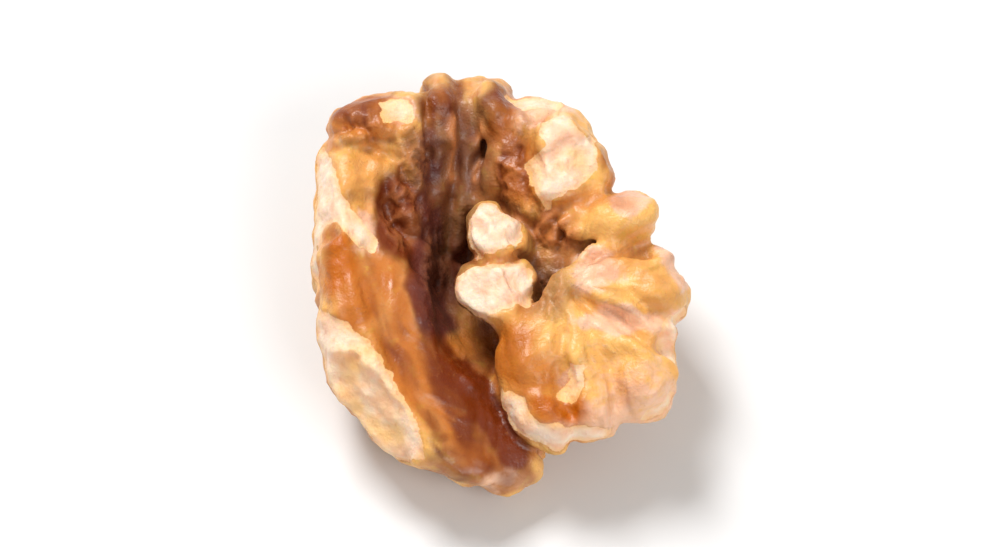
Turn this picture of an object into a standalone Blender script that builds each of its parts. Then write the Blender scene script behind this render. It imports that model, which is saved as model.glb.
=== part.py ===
"""One piece of chopped walnut kernel, lying on its rounded back with its inner face up.

The kernel is laid out in its face frame, in millimetres: x across the face, y along it from the thin
tail to the thick bridge, z out of the face. It is then tipped about X so that it lies on its back,
and scaled to metres.
"""

import math

import bmesh
import bpy
import numpy as np
from mathutils import Matrix, Vector, noise

MM = 0.001

# How the piece lies: its face looks up and towards -Y, and the lowest folds are worn flat.
TIP_DEG = 30.0
REST_DEPTH = 0.4

# The rim plane runs through the tops of the face's folds and falls away along y.
RIM_SLOPE = 0.30

# Outline of the rounded back, seen on the face: distance from its middle for every 15 degrees round
# from +x, how deep the back lies under the rim plane at its edge and at its middle, and how much
# deeper it grows with every millimetre along y.
BACK_MIDDLE = (0.0, 0.9)
BACK_OUTLINE = (
    13.0, 12.6, 10.8, 10.7, 10.8, 12.6, 13.9, 14.1, 14.2, 15.6, 14.5, 13.2,
    12.7, 12.8, 13.3, 13.4, 12.8, 13.0, 12.8, 11.9, 12.3, 13.4, 13.8, 13.4,
)
BACK_EDGE_DEPTH = 2.6
BACK_DEPTH = 13.2
BACK_TAPER = 0.24

# The trough runs out over the tail through a mouth, and starts under the bridge's ridges. In both
# places the back's edge dips: the place (x, y), how deep, and how far around it.
TROUGH_ENDS = ((0.8, -12.0, 4.2, 4.4), (-2.2, 13.4, 3.4, 3.4))

# The skin between the back's folds lies this far under their tops.
BACK_VALLEY = 1.5
BACK_SKIN_RADIUS = 1.7
BACK_SKIN_STEP = 0.075

# Two long folds run down the middle of the back, in back coordinates: from -1 to 1 across and along.
BACK_LONG_FOLDS = (
    [(-0.12, 0.96, 1.8), (-0.20, 0.74, 2.2), (-0.11, 0.46, 2.3), (-0.20, 0.16, 2.2), (-0.11, -0.14, 2.2),
     (-0.20, -0.44, 2.2), (-0.12, -0.70, 2.0), (-0.12, -0.90, 1.7)],
    [(0.16, 0.94, 1.8), (0.11, 0.72, 2.1), (0.20, 0.44, 2.2), (0.11, 0.14, 2.2), (0.20, -0.16, 2.2),
     (0.12, -0.46, 2.1), (0.18, -0.70, 2.0), (0.14, -0.88, 1.7)],
)

# Side folds run from the long ones out to the rim: a side of the back, where each starts along it,
# and the angle at which it meets the rim.
BACK_SIDE_FOLDS = (
    (-1, 0.76, 116), (-1, 0.50, 138), (-1, 0.25, 157), (-1, 0.01, 177), (-1, -0.22, 196),
    (-1, -0.46, 217), (-1, -0.70, 240),
    (1, 0.66, 66), (1, 0.42, 44), (1, 0.18, 22), (1, -0.06, 1), (1, -0.30, -20), (1, -0.54, -41),
    (1, -0.76, -63),
)
BACK_SIDE_RADIUS = 1.95

# Folds of the face: how far each is stretched in depth, then its points (x, y, how far its top lies
# under the rim plane, radius).
FACE_FOLDS = {
    "left_wall": (1.6, [
        (-10.9, 9.0, 0.9, 2.4), (-11.1, 6.3, 0.5, 2.5), (-10.8, 3.1, 0.1, 2.8), (-10.5, -0.1, 0.0, 2.9),
        (-10.0, -3.6, 0.0, 3.0), (-8.8, -6.9, 0.2, 3.2), (-6.8, -9.4, 0.7, 2.8), (-4.2, -11.4, 1.4, 2.3),
        (-1.4, -12.8, 2.3, 2.0),
    ]),
    "left_slope_high": (1.3, [
        (-9.2, 4.2, 2.2, 1.1), (-8.5, 1.9, 1.3, 1.9), (-7.5, -1.4, 0.9, 2.6), (-6.4, -4.6, 1.1, 2.7),
        (-4.3, -8.0, 1.8, 2.5), (-2.1, -10.8, 2.6, 2.3), (-0.6, -12.8, 3.4, 2.0),
    ]),
    "left_slope_low": (1.2, [
        (-7.0, 2.6, 4.6, 1.6), (-6.5, -0.6, 4.0, 1.9), (-5.0, -4.2, 4.0, 2.2), (-2.6, -7.6, 4.2, 2.3),
        (-0.2, -10.4, 4.6, 2.2), (0.8, -12.4, 4.8, 2.0),
    ]),
    "left_inner_lip": (1.5, [
        (-6.3, 10.6, 1.8, 1.5), (-6.2, 8.6, 2.4, 1.4), (-5.8, 6.4, 3.8, 1.2), (-5.7, 3.8, 5.6, 1.0),
        (-5.9, 1.4, 7.4, 1.0),
    ]),
    "pit_floor": (0.8, [(-7.9, 8.0, 3.4, 1.8), (-7.7, 5.0, 4.2, 1.8)]),
    "pit_ridge": (1.3, [
        (-9.0, 9.9, 1.7, 1.0), (-8.2, 8.5, 2.0, 0.9), (-7.5, 7.0, 2.5, 0.8), (-7.0, 5.4, 3.3, 0.8),
        (-6.7, 4.0, 4.4, 0.8),
    ]),
    "left_knob": (1.2, [
        (-10.9, 11.6, 1.8, 1.9), (-9.4, 12.1, 1.0, 2.2), (-7.6, 12.0, 0.8, 2.2), (-6.5, 10.8, 1.5, 1.7),
    ]),
    "bridge_ridge_1": (1.6, [
        (-4.4, 14.1, 3.4, 1.4), (-4.3, 12.8, 2.4, 1.5), (-4.2, 11.0, 2.8, 1.3), (-4.3, 8.6, 3.9, 1.1),
        (-4.5, 5.8, 5.4, 1.0), (-4.7, 3.2, 7.0, 1.0),
    ]),
    "bridge_ridge_2": (1.7, [
        (-2.1, 14.3, 4.6, 1.2), (-2.1, 12.7, 3.7, 1.0), (-2.1, 10.6, 4.2, 0.9), (-2.3, 8.0, 5.0, 0.9),
        (-2.7, 5.4, 6.2, 1.0), (-3.2, 2.4, 7.4, 1.1),
    ]),
    "bridge_ridge_3": (1.6, [
        (-0.2, 14.2, 3.0, 1.4), (0.0, 13.0, 1.9, 1.4), (0.6, 11.3, 2.1, 1.1), (0.2, 9.4, 3.1, 1.0),
        (-0.4, 7.4, 4.4, 1.0), (-0.9, 5.6, 5.8, 1.0),
    ]),
    "bridge_floor": (0.7, [
        (-2.0, 12.4, 6.0, 3.0), (-2.0, 9.8, 6.2, 3.0), (-2.2, 6.6, 7.2, 2.8), (-2.6, 3.6, 8.4, 2.4),
    ]),
    "trough_floor": (0.6, [
        (-3.4, 1.0, 8.6, 2.4), (-2.4, -3.0, 7.8, 2.3), (-0.6, -6.8, 6.8, 2.3), (1.0, -9.6, 6.2, 2.2),
        (1.8, -11.4, 5.8, 1.8),
    ]),
    "tail": (1.0, [(-1.0, -11.2, 3.8, 2.3), (-0.2, -12.5, 3.8, 2.5), (0.5, -13.2, 4.0, 2.3)]),
    "upper_lobe": (1.5, [
        (1.9, 12.4, 1.8, 1.9), (3.6, 11.0, 0.4, 2.6), (4.8, 9.0, 0.0, 3.1), (4.4, 7.2, 0.5, 2.6),
    ]),
    "upper_lobe_rim": (1.4, [
        (4.8, 10.7, 1.6, 1.5), (6.6, 9.4, 1.0, 1.5), (7.4, 8.0, 1.2, 1.4), (7.0, 6.8, 1.6, 1.2),
    ]),
    "upper_lobe_flank": (1.6, [
        (1.7, 10.8, 2.2, 1.5), (1.5, 8.6, 2.6, 1.7), (2.0, 6.6, 2.8, 1.7), (3.0, 5.4, 2.8, 1.5),
    ]),
    "notch_fold_1": (1.4, [(3.8, 5.2, 2.6, 0.8), (4.2, 3.9, 3.4, 0.8), (3.9, 2.6, 4.6, 0.8)]),
    "notch_fold_2": (1.4, [(5.4, 5.6, 2.4, 0.9), (5.6, 4.2, 3.2, 0.8), (5.2, 2.8, 4.4, 0.8)]),
    "petal_top": (1.4, [(7.3, 4.3, 1.0, 1.8), (8.8, 4.7, 0.2, 2.0), (9.9, 4.7, 0.3, 1.9)]),
    "petal_right": (1.2, [(7.6, 0.3, 0.9, 2.1), (9.6, 0.3, 0.1, 2.5), (11.0, -0.9, 0.0, 2.8)]),
    "petal_low_right": (1.1, [(7.6, -3.0, 0.7, 2.5), (9.4, -4.6, 0.1, 3.0), (9.9, -7.0, 0.1, 3.1)]),
    "petal_low": (1.1, [(5.8, -3.4, 0.6, 2.5), (6.2, -5.8, 0.1, 2.9), (6.6, -8.6, 0.2, 2.9)]),
    "petal_left": (1.1, [
        (2.9, -2.8, 0.7, 1.9), (2.4, -4.9, 0.3, 2.4), (3.0, -7.4, 0.2, 2.9), (3.6, -9.7, 0.6, 2.5),
    ]),
    "fan_body": (0.42, [(8.4, -0.8, 0.5, 4.0), (7.4, -3.8, 0.2, 5.2), (6.4, -5.6, 0.3, 4.8)]),
    "fan_under": (0.8, [(7.8, 1.6, 3.0, 3.8), (7.6, -3.4, 3.0, 4.5), (6.6, -6.4, 3.4, 3.2)]),
    "nub_upper": (1.2, [
        (-0.8, 4.6, 1.1, 1.4), (-0.4, 3.5, 0.1, 2.0), (0.1, 2.7, 1.6, 2.1), (0.5, 2.4, 3.2, 2.2),
    ]),
    "nub_lower": (1.1, [(-1.2, -0.1, 0.7, 1.8), (0.1, -0.2, -0.1, 2.4), (0.9, -0.8, 1.6, 2.4)]),
    "nub_tail": (1.2, [(0.9, -1.6, 0.9, 1.5), (1.7, -2.8, 0.8, 1.4), (2.9, -3.4, 0.8, 1.3)]),
    "nub_root": (1.3, [(0.8, 3.8, 5.4, 2.2), (1.2, 0.0, 4.6, 2.6), (1.9, -3.4, 4.2, 2.3)]),
    "hub": (0.9, [(2.2, 3.0, 5.8, 2.2), (3.2, 1.6, 5.4, 2.4), (4.6, 0.4, 4.2, 2.4)]),
    "notch_floor": (0.8, [(2.4, 4.8, 4.4, 1.9), (4.9, 3.2, 4.2, 2.0)]),
}

# Creases of the fan and the wall: half width, depth, then points on the face.
CREASES = (
    (0.55, 0.85, [(5.8, -0.8), (8.0, -2.0), (10.4, -3.6), (13.4, -4.9)]),
    (0.55, 0.90, [(6.6, 2.3), (8.4, 2.5), (10.6, 2.6), (12.6, 2.9)]),
    (0.50, 0.30, [(5.8, -1.8), (7.4, -4.6), (8.4, -7.4), (8.8, -11.4)]),
    (0.50, 0.30, [(4.6, -1.8), (4.6, -4.4), (4.9, -7.0), (5.4, -9.0)]),
    (0.45, 0.25, [(7.2, 0.6), (9.2, -0.4), (11.4, -2.0)]),
    (0.55, 0.45, [(-13.2, 10.2), (-11.2, 10.2), (-9.2, 10.0), (-8.0, 9.4)]),
    (0.45, 0.22, [(-9.4, 2.6), (-9.0, -1.2), (-7.8, -4.6), (-5.6, -7.8), (-2.8, -10.6), (-0.2, -12.2)]),
    (0.40, 0.25, [(-6.9, 1.0), (-6.6, -2.2), (-5.2, -5.6), (-3.0, -8.8)]),
    (0.40, 0.40, [(-2.8, 2.1), (-0.6, 1.7), (1.6, 2.0)]),
    (0.40, 0.50, [(-5.4, 14.5), (-5.2, 12.0), (-5.0, 9.5)]),
)

# Broken faces, each a rough plane: a point on it (x, y, height over the rim plane), the way it faces,
# and how far it reaches from that point.
BREAKS = {
    "wall_low": ((-10.2, -6.3, -1.2), (-0.50, -0.36, 0.79), 7.2),
    "wall_high": ((-12.3, 6.6, -1.3), (-0.76, 0.08, 0.64), 4.4),
    "upper_lobe": ((5.0, 9.1, -0.7), (0.26, 0.10, 0.96), 4.0),
    "bridge_edge": ((2.4, 13.0, -2.2), (0.10, 0.70, 0.70), 2.6),
    "knob_scuff": ((-7.4, 12.5, -1.3), (0.20, 0.45, 0.85), 1.6),
    "nub_upper": ((-0.8, 4.0, -0.8), (-0.45, 0.20, 0.87), 2.2),
    "nub_upper_side": ((0.6, 4.4, -1.3), (0.65, 0.40, 0.65), 2.0),
    "nub_lower": ((-0.4, 0.0, -0.6), (-0.30, 0.15, 0.94), 2.6),
    "nub_lower_side": ((1.6, 0.6, -1.2), (0.60, 0.45, 0.65), 1.6),
    "fan_bottom": ((5.6, -10.9, -1.3), (-0.06, -0.78, 0.62), 3.6),
    "fan_right": ((10.6, -8.9, -1.3), (0.48, -0.62, 0.62), 3.0),
    "fan_edge": ((13.3, -3.2, -1.6), (0.85, -0.10, 0.52), 2.0),
    "back_low": ((8.8, -7.2, -8.6), (0.46, -0.50, -0.73), 3.4),
    "back_high": ((-8.6, 10.6, -9.0), (-0.46, 0.52, -0.71), 3.2),
}
BREAK_ROUGHNESS = 0.35
BREAK_THICKNESS = 3.4

# Meshing of the fused folds, in millimetres, and of the finished piece, in triangles.
BEAD_STEP = 0.35
BEAD_SUBDIVISIONS = 3
VOXEL = 0.30
FUSE_SMOOTHING = 5
TRIANGLES = 11000


def rim(y):
    """Height of the rim plane."""
    return -RIM_SLOPE * y


def back_point(u, v, inset):
    """The point (u, v) of the rounded back, moved inwards by the inset."""
    angle = math.atan2(v, u) % (2.0 * math.pi)
    turn = angle / math.radians(15.0)
    low, part = int(turn) % 24, turn % 1.0
    radius = BACK_OUTLINE[low] * (1.0 - part) + BACK_OUTLINE[(low + 1) % 24] * part - inset
    swing = math.hypot(u, v) * 0.5 * math.pi
    x = BACK_MIDDLE[0] + radius * math.sin(swing) * math.cos(angle)
    y = BACK_MIDDLE[1] + radius * math.sin(swing) * math.sin(angle)
    depth = BACK_EDGE_DEPTH + (BACK_DEPTH - BACK_EDGE_DEPTH - inset + BACK_TAPER * y) * math.cos(swing)
    for end_x, end_y, dip, reach in TROUGH_ENDS:
        depth += dip * math.exp(-(math.hypot(x - end_x, y - end_y) / reach) ** 2)
    return x, y, rim(y) - depth


def face_chain(points, stretch):
    return [(x, y, rim(y) - sink - stretch * r, r) for x, y, sink, r in points]


def back_chain(points):
    return [(*back_point(u, v, r), r) for u, v, r in points]


def side_fold(side, start, rim_angle, number):
    """Points of one wavy side fold of the back."""
    angle = math.radians(rim_angle)
    first = Vector((0.36 * side, start))
    last = Vector((math.cos(angle), math.sin(angle))) * 1.02
    across = Vector((first.y - last.y, last.x - first.x)).normalized()
    points = []
    for step in range(6):
        share = step / 5.0
        wave = 0.045 * math.sin(5.2 * share + 2.1 * number)
        u, v = first.lerp(last, share) + across * wave
        points.append((u, v, BACK_SIDE_RADIUS * (1.0 - 0.18 * share)))
    return points


def smooth_chain(points):
    """Beads (x, y, z, radius) along a smooth curve through the points of a chain."""
    knots = np.array([points[0], *points, points[-1]], float)
    beads = [knots[1]]
    for a, b, c, d in zip(knots, knots[1:], knots[2:], knots[3:]):
        length = np.linalg.norm(c[:3] - b[:3])
        steps = max(1, math.ceil(length / (BEAD_STEP * min(b[3], c[3]))))
        for t in np.arange(1, steps + 1) / steps:
            bend = 2 * a - 5 * b + 4 * c - d + t * (3 * (b - c) + d - a)
            beads.append(b + 0.5 * t * (c - a + t * bend))
    return beads


def all_beads():
    """Every bead of the kernel as (x, y, z, radius, stretch in depth)."""
    beads = []
    for stretch, points in FACE_FOLDS.values():
        beads += [(*bead, stretch) for bead in smooth_chain(face_chain(points, stretch))]
    for points in BACK_LONG_FOLDS:
        beads += [(*bead, 1.0) for bead in smooth_chain(back_chain(points))]
    for number, (side, start, angle) in enumerate(BACK_SIDE_FOLDS):
        chain = back_chain(side_fold(side, start, angle, number))
        beads += [(*bead, 1.0) for bead in smooth_chain(chain)]
    for u in np.arange(-0.98, 0.99, BACK_SKIN_STEP):
        for v in np.arange(-0.98, 0.99, BACK_SKIN_STEP):
            if math.hypot(u, v) < 0.98:
                centre = back_point(u, v, BACK_VALLEY + BACK_SKIN_RADIUS)
                beads.append((*centre, BACK_SKIN_RADIUS, 1.0))
    return beads


def bead_mesh(beads):
    """One mesh of all the beads, each a ball stretched in depth."""
    bm = bmesh.new()
    bmesh.ops.create_icosphere(bm, subdivisions=BEAD_SUBDIVISIONS, radius=1.0)
    ball = np.array([v.co for v in bm.verts])
    ball_faces = np.array([[v.index for v in f.verts] for f in bm.faces])
    bm.free()
    points = [ball * (r, r, stretch * r) + (x, y, z) for x, y, z, r, stretch in beads]
    faces = [ball_faces + number * len(ball) for number in range(len(beads))]
    mesh = bpy.data.meshes.new("walnut_kernel")
    mesh.from_pydata(np.concatenate(points).tolist(), [], np.concatenate(faces).tolist())
    return mesh


def coords(mesh, what="co"):
    flat = np.empty(len(mesh.vertices) * 3, np.float32)
    mesh.vertices.foreach_get(what, flat)
    return flat.reshape(-1, 3).astype(float)


def set_coords(mesh, points):
    mesh.vertices.foreach_set("co", points.astype(np.float32).ravel())
    mesh.update()


def apply_modifiers(obj):
    graph = bpy.context.evaluated_depsgraph_get()
    mesh = bpy.data.meshes.new_from_object(obj.evaluated_get(graph))
    obj.modifiers.clear()
    obj.data = mesh


def fuse(obj):
    """Joins the beads into one closed skin and rounds the joins off."""
    remesh = obj.modifiers.new("fuse", "REMESH")
    remesh.mode = "VOXEL"
    remesh.voxel_size = VOXEL
    smooth = obj.modifiers.new("round_off", "SMOOTH")
    smooth.factor = 0.5
    smooth.iterations = FUSE_SMOOTHING
    apply_modifiers(obj)


def noise_value(points, wavelength, seed):
    """A smooth number from a fixed noise, about -1 to 1, at every point."""
    offset = Vector((seed, -1.9 * seed, 3.1 * seed))
    return np.array([noise.noise(Vector(p) / wavelength + offset) for p in points])


def noise_field(points, wavelength, seed):
    """A smooth vector from the same noise at every point."""
    return np.stack([noise_value(points, wavelength, seed + 17.0 * axis) for axis in range(3)], axis=1)


def warp(mesh):
    """Makes the folds uneven, first in their run, then in their thickness."""
    points = coords(mesh)
    points = points + 0.7 * noise_field(points, 6.5, 11.0) + 0.35 * noise_field(points, 2.8, 23.0)
    set_coords(mesh, points)
    lumps = 0.30 * noise_value(points, 2.4, 5.0) + 0.14 * noise_value(points, 1.2, 7.0)
    set_coords(mesh, points + coords(mesh, "normal") * lumps[:, None])


def distance_to_line(points, line):
    """Distance on the face from every point to a line of points."""
    nearest = np.full(len(points), np.inf)
    for a, b in zip(np.array(line[:-1], float), np.array(line[1:], float)):
        share = np.clip(((points - a) @ (b - a)) / ((b - a) @ (b - a)), 0.0, 1.0)
        nearest = np.minimum(nearest, np.linalg.norm(points - a - share[:, None] * (b - a), axis=1))
    return nearest


def crease(mesh):
    """Presses the creases into the side that looks out of the face."""
    points, normals = coords(mesh), coords(mesh, "normal")
    facing = np.clip((normals[:, 2] + 0.1) / 0.5, 0.0, 1.0)
    wobble = 0.35 * noise_field(points, 2.0, 31.0)[:, :2]
    for half_width, depth, line in CREASES:
        away = distance_to_line(points[:, :2] + wobble, line)
        press = depth * np.exp(-((away / half_width) ** 2)) * facing
        points = points - normals * press[:, None]
    set_coords(mesh, points)


def break_off(mesh):
    """Cuts the broken faces: what stands out of each rough plane is laid back onto it."""
    points = coords(mesh)
    for number, ((x, y, lift), facing, reach) in enumerate(BREAKS.values()):
        origin = np.array((x, y, rim(y) + lift))
        out = np.array(facing) / np.linalg.norm(facing)
        height = (points - origin) @ out
        away = np.linalg.norm(points - origin - height[:, None] * out, axis=1)
        picked = np.flatnonzero((away < reach) & (height > -0.6) & (height < BREAK_THICKNESS))
        rough = noise_value(points[picked], 1.6, 41.0 + number) * BREAK_ROUGHNESS
        over = np.maximum(height[picked] - rough, 0.0)
        fade = np.clip((reach - away[picked]) / (0.25 * reach), 0.0, 1.0)
        points[picked] -= (over * fade)[:, None] * out
    set_coords(mesh, points)


def place(mesh):
    """Tips the piece onto its back and shaves its lowest folds; returns the move to the frame."""
    points = coords(mesh) @ np.array(Matrix.Rotation(math.radians(TIP_DEG), 3, "X")).T
    low, high = points.min(axis=0), points.max(axis=0)
    shift = np.array((-(low[0] + high[0]) / 2, -(low[1] + high[1]) / 2, -low[2] - REST_DEPTH))
    set_coords(mesh, (points + shift) * MM)
    return shift


def thin_out(obj):
    """Brings the mesh down to its triangle count."""
    count = sum(len(face.vertices) - 2 for face in obj.data.polygons)
    decimate = obj.modifiers.new("thin_out", "DECIMATE")
    decimate.ratio = TRIANGLES / count
    decimate.use_collapse_triangulate = True
    apply_modifiers(obj)


def drop_crumbs(obj):
    """Removes every loose scrap, keeping the one large body."""
    bm = bmesh.new()
    bm.from_mesh(obj.data)
    left, bodies = set(bm.verts), []
    while left:
        body, edge = [], [left.pop()]
        while edge:
            vert = edge.pop()
            body.append(vert)
            for other in (e.other_vert(vert) for e in vert.link_edges):
                if other in left:
                    left.remove(other)
                    edge.append(other)
        bodies.append(body)
    bodies.sort(key=len)
    for body in bodies[:-1]:
        bmesh.ops.delete(bm, geom=body, context="VERTS")
    bm.to_mesh(obj.data)
    bm.free()


def flatten_rest(obj):
    """Cuts the lowest folds off flat at Z = 0."""
    mesh = bpy.data.meshes.new("under")
    bm = bmesh.new()
    bmesh.ops.create_cube(bm, size=0.08)
    bmesh.ops.translate(bm, verts=bm.verts, vec=(0.0, 0.0, -0.04))
    bm.to_mesh(mesh)
    bm.free()
    under = bpy.data.objects.new("under", mesh)
    under.hide_render = True
    under.display_type = "WIRE"
    bpy.context.scene.collection.objects.link(under)
    cut = obj.modifiers.new("rest", "BOOLEAN")
    cut.operation = "DIFFERENCE"
    cut.solver = "EXACT"
    cut.object = under
    apply_modifiers(obj)
    bpy.data.objects.remove(under)


def kernel_material():
    material = bpy.data.materials.new("walnut_kernel")
    material.use_nodes = True
    shader = material.node_tree.nodes["Principled BSDF"]
    shader.inputs["Base Color"].default_value = (0.55, 0.27, 0.09, 1.0)
    shader.inputs["Roughness"].default_value = 0.45
    return material


def main():
    for old in list(bpy.data.objects):
        bpy.data.objects.remove(old)
    obj = bpy.data.objects.new("walnut_kernel", bead_mesh(all_beads()))
    bpy.context.scene.collection.objects.link(obj)
    fuse(obj)
    warp(obj.data)
    crease(obj.data)
    break_off(obj.data)
    shift = place(obj.data)
    thin_out(obj)
    flatten_rest(obj)
    drop_crumbs(obj)
    obj.data.shade_smooth()
    obj.data.materials.clear()
    obj.data.materials.append(kernel_material())
    size = obj.dimensions / MM
    print(f"walnut_kernel: {len(obj.data.polygons)} faces, {size.x:.1f} x {size.y:.1f} x {size.z:.1f} mm,"
          f" face frame moved by {shift.round(2)}")
    return shift


shift_mm = main()
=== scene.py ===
# %% [markdown]
# A piece of chopped walnut kernel, dressed.
#
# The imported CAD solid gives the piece's true shape and size, but it is made of coarse triangles and
# has one flat colour. This script grows a fine skin over it, works the small relief into that skin,
# marks where the nut is broken and where it is dark, and paints both finishes with shader nodes.
# The frame is loaded first, because everything else is placed by it.

import math

import bpy
import numpy as np
from mathutils import Matrix, Vector, noise
from mathutils.bvhtree import BVHTree


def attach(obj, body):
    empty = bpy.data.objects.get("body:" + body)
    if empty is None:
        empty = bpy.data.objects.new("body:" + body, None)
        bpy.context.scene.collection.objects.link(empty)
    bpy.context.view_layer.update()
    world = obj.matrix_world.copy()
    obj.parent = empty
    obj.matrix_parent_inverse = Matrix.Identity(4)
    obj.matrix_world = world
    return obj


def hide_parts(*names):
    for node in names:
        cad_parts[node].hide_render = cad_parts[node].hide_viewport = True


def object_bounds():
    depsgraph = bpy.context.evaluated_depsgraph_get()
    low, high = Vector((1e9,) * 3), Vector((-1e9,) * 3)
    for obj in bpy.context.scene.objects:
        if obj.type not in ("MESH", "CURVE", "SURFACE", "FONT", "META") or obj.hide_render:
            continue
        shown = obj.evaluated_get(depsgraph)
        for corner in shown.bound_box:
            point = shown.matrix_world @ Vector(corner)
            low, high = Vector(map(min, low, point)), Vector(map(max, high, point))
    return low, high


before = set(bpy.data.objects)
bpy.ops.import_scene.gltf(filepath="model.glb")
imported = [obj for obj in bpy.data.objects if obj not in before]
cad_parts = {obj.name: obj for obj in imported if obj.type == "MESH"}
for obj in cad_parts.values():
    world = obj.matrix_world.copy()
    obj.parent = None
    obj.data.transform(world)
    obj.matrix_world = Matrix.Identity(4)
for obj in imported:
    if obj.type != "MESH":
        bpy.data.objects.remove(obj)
cad_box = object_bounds()
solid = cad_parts["walnut_kernel"]
print("the CAD solid has", len(solid.data.polygons), "faces")

# %% [markdown]
# A walnut is measured in millimetres, and Blender's remesher and noise like numbers near one. So the
# work is done in millimetres and turned back to metres at the end. Meshes are read and written as
# whole arrays, which is many times faster than one vertex at a time.

# %% Millimetres and arrays
MM = 0.001


def coords(mesh, what="co"):
    """A mesh's points or normals as an array of rows."""
    flat = np.empty(len(mesh.vertices) * 3, np.float32)
    mesh.vertices.foreach_get(what, flat)
    return flat.reshape(-1, 3).astype(float)


def set_coords(mesh, points):
    """Moves a mesh's points to an array of rows."""
    mesh.vertices.foreach_set("co", points.astype(np.float32).ravel())
    mesh.update()


cad_low, cad_high = (np.array(corner) / MM for corner in cad_box)
print("CAD box in mm:", cad_low.round(2), cad_high.round(2))

# %% [markdown]
# The kernel was laid out with its face flat, as on a sheet of paper, and then tipped onto its back.
# Places on it are easiest to give on that sheet, in its face frame: x across the face, y from the
# tail to the bridge, z out of it. The rim plane runs through the tops of the face's folds. These
# are the same tip, shift and slope that the CAD model uses.

# %% The face frame
TIP_DEG = 30.0
FACE_SHIFT = np.array((-0.22, -3.41, 11.47))
RIM_SLOPE = 0.30
tip = np.array(Matrix.Rotation(math.radians(TIP_DEG), 3, "X"))


def on_face(points):
    """Points of the lying piece, in millimetres, brought to the face frame."""
    return (points - FACE_SHIFT) @ tip


def rim(y):
    """How high the rim plane lies at y, in the face frame."""
    return -RIM_SLOPE * y


print("the top of the face is at", on_face(cad_high[None, :]).round(1))

# %% [markdown]
# The fine skin: a voxel remesh wraps the coarse solid in an even net of small squares, fine enough
# for relief half a millimetre wide. A few rounds of smoothing take the flat triangles out of it.
# Subdividing the solid would keep its long thin triangles, and relief would show their edges.

# %% The fine skin
VOXEL = 0.2
SMOOTHING_SHARE = 0.5
SMOOTHING_ROUNDS = 7


def fine_skin(name):
    """A fine copy of the CAD solid, in millimetres."""
    mesh = solid.data.copy()
    set_coords(mesh, coords(mesh) / MM)
    coarse = bpy.data.objects.new(name, mesh)
    bpy.context.scene.collection.objects.link(coarse)
    remesh = coarse.modifiers.new("net", "REMESH")
    remesh.mode = "VOXEL"
    remesh.voxel_size = VOXEL
    smooth = coarse.modifiers.new("round", "SMOOTH")
    smooth.factor = SMOOTHING_SHARE
    smooth.iterations = SMOOTHING_ROUNDS
    graph = bpy.context.evaluated_depsgraph_get()
    fine = bpy.data.meshes.new_from_object(coarse.evaluated_get(graph))
    coarse.modifiers.clear()
    coarse.data = fine
    return coarse


kernel = fine_skin("kernel")
mesh = kernel.data
print("the fine skin has", len(mesh.vertices), "points")

# %% [markdown]
# Many steps need a value spread out over the skin: a soft edge for a mask, or a smoothed copy of the
# shape to compare with. Averaging each point with its neighbours, round after round, does all of it.

# %% Spreading a value over the skin
links = np.empty(len(mesh.edges) * 2, np.int32)
mesh.edges.foreach_get("vertices", links)
links = links.reshape(-1, 2)
neighbours = np.bincount(links.ravel(), minlength=len(mesh.vertices))


def spread(values, rounds):
    """Each value averaged with its neighbours' mean, so many times."""
    columns = values.reshape(len(values), -1).astype(float)
    for _ in range(rounds):
        total = [
            np.bincount(links[:, 0], column[links[:, 1]], len(column))
            + np.bincount(links[:, 1], column[links[:, 0]], len(column))
            for column in columns.T
        ]
        columns = 0.5 * columns + 0.5 * np.stack(total, axis=1) / neighbours[:, None]
    return columns.reshape(values.shape)


def smoothstep(low, high, values):
    """0 below low, 1 above high, and a soft S between."""
    share = np.clip((values - low) / (high - low), 0.0, 1.0)
    return share * share * (3.0 - 2.0 * share)


print("a point of the skin has", round(neighbours.mean(), 2), "neighbours on average")

# %% [markdown]
# Nothing that grew is even, so noise goes into nearly every step. Blender's own noise is smooth and
# gives the same numbers on each run. Each use has a seed of its own, which only shifts the noise to
# another place. Its ridged form, one minus the noise's size, makes the sharp crests of wrinkles.

# %% Noise over the skin
CREST_STEEPNESS = 2.6
CREST_POWER = 1.5


def noise_value(points, wavelength, seed):
    """A smooth number, about -1 to 1, at every point."""
    offset = Vector((seed, -1.9 * seed, 3.1 * seed))
    return np.array([noise.noise(Vector(p) / wavelength + offset) for p in points])


def ridges(points, wavelength, seed):
    """Sharp crests: 1 on them and 0 away from them."""
    crest = 1.0 - CREST_STEEPNESS * np.abs(noise_value(points, wavelength, seed))
    return np.clip(crest, 0.0, 1.0) ** CREST_POWER


points = coords(mesh)
face = on_face(points)
print("noise on the skin runs from", noise_value(points[:500], 2.0, 1.0).min().round(2))

# %% [markdown]
# The nut was chopped, so in many places the brown skin is gone and the ivory flesh is bare. The CAD
# solid has each of these broken faces as a rough plane that everything above it was cut back to. The
# same list finds them again: a place on the plane, given by x, y and the height over the rim plane,
# then the way the plane faces, and its reach. The flesh is bare where a point lies on one of those
# planes, within its reach, and faces its way. On the face, the photograph shows how far each bare
# patch runs. So outlines there bound the planes and add what lies around them, each down to its own
# depth under the rim plane, and two small scuffs have an outline only.

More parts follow.
